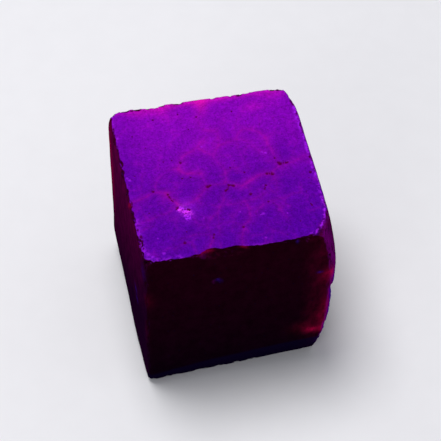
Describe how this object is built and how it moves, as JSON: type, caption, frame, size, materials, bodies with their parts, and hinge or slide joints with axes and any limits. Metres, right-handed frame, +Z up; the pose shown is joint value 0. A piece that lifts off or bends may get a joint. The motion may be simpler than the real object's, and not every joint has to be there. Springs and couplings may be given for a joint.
{
  "type": "ruby cube",
  "caption": "Cube cut from massive ruby, with ground faces, softly worn edges, chipped corners and a pitted top, that stands on its flat underside.",
  "frame": {"origin": "centre of the block's outline at the level of its underside", "axes": "+Z up from the underside to the ground top, which is the longest way; +X to the right along the front face; +Y from the front face to the back"},
  "size_m": [0.0266, 0.0268, 0.027],
  "materials": {
    "ruby": "ground and satin: violet-red with paler magenta veins, as the stone looks under violet light"
  },
  "bodies": {
    "root": {"ruby_cube": "ruby"}
  },
  "joints": []
}
